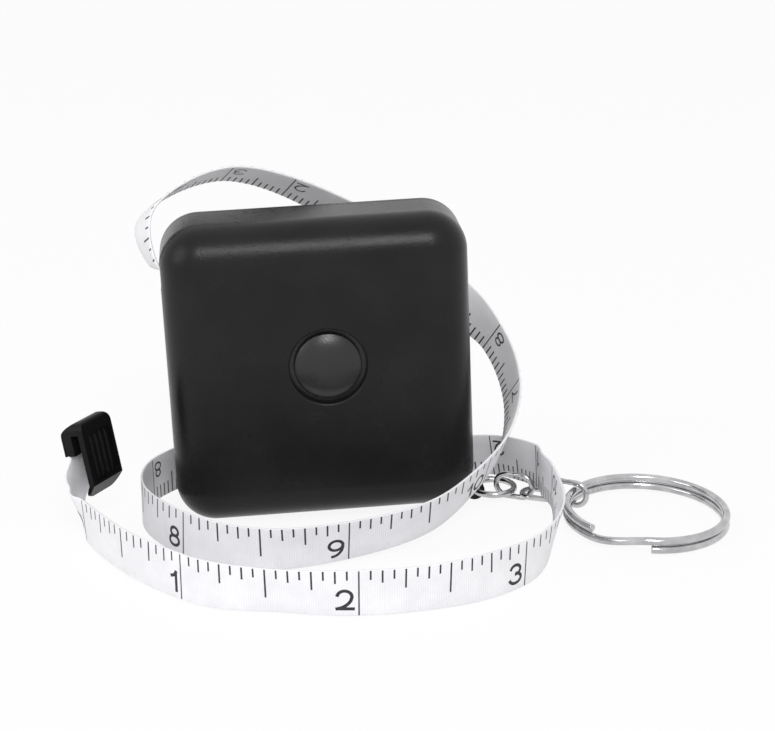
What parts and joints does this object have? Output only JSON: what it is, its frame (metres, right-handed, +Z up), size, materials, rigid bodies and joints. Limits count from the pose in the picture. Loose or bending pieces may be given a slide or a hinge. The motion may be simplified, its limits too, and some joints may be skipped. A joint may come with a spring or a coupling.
{
  "type": "keyring tape measure",
  "caption": "Small pocket tape measure with a push-button brake, printed tape drawn out of its square case, chain and split ring.",
  "frame": {"origin": "on the floor, under the middle of the case, chain and ring", "axes": "+X from the case towards the split ring, -Y the way the button faces, +Z up from the edge that the case stands on"},
  "size_m": [0.099, 0.0574, 0.0519],
  "materials": {
    "case_black": "fine satin grain",
    "case_rear": "fine satin grain",
    "button_black": "semi-gloss",
    "tape_white": "coated woven tape, printed scales",
    "tab_black": "semi-gloss, ribbed",
    "chrome_wire": "polished",
    "reel_plastic": "plain",
    "spring_steel": "bright",
    "brass": "turned",
    "steel": "zinc plated",
    "rubber": "plain"
  },
  "bodies": {
    "case": {"front_shell": "case_black", "rear_shell": "case_rear", "arbor": "brass", "arbor_screw": "steel", "reel_washer": "steel", "brake_pin": "steel", "brake_spring": "brass", "button_spring": "spring_steel", "mainspring": "spring_steel", "tape_feed": "tape_white", "tape_blade": "tape_white", "end_tab": "tab_black"},
    "button": {"push_button": "button_black"},
    "brake": {"brake_arm": "steel", "brake_pad": "rubber"},
    "reel": {"reel_drum": "reel_plastic", "reel_cover": "reel_plastic", "tape_winding": "tape_white"},
    "link_1": {"chain_link_1": "chrome_wire"},
    "link_2": {"chain_link_2": "chrome_wire"},
    "link_3": {"chain_link_3": "chrome_wire"},
    "link_4": {"chain_link_4": "chrome_wire"},
    "ring": {"split_ring": "chrome_wire"}
  },
  "joints": [
    {"name": "button_press", "type": "slide", "parent": "case", "child": "button", "axis": [0, 1, 0], "range_m": [0, 0.0007], "stiffness_N_per_m": 300, "springref_m": -0.003, "deforming": ["button_spring"]},
    {"name": "brake_release", "type": "hinge", "parent": "case", "child": "brake", "pos_m": [-0.00728, 0.00376, 0.02541], "axis": [0.0363, 0, -0.9993], "range_deg": [0, 8.5], "deforming": ["brake_spring"]},
    {"name": "reel_spin", "type": "hinge", "parent": "case", "child": "reel", "pos_m": [-0.01777, 0.00971, 0.02503], "axis": [0, 1, 0], "range_deg": [-5700, 1450], "deforming": ["mainspring"]},
    {"name": "jump_swing", "type": "hinge", "parent": "case", "child": "link_1", "pos_m": [0.00487, 0.01031, 0.00145], "axis": [0, 0, 1], "range_deg": [-2, 1]},
    {"name": "link_2_swing", "type": "hinge", "parent": "link_1", "child": "link_2", "pos_m": [0.01098, 0.00877, 0.00145], "axis": [0, 0, 1], "range_deg": [-2, 2]},
    {"name": "link_3_swing", "type": "hinge", "parent": "link_2", "child": "link_3", "pos_m": [0.01302, 0.00769, 0.00137], "axis": [0, 0, 1], "range_deg": [-1, 4]},
    {"name": "link_4_swing", "type": "hinge", "parent": "link_3", "child": "link_4", "pos_m": [0.01769, 0.00553, 0.00137], "axis": [0, 0, 1], "range_deg": [-1, 4]},
    {"name": "ring_flip", "type": "hinge", "parent": "link_4", "child": "ring", "pos_m": [0.01983, 0.00425, 0.0022], "axis": [0.5934, 0.8049, 0], "range_deg": [0, 88]}
  ],
  "couplings": [
    {"joint": "brake_release", "follows": "button_press", "rad_per_m": 210}
  ]
}
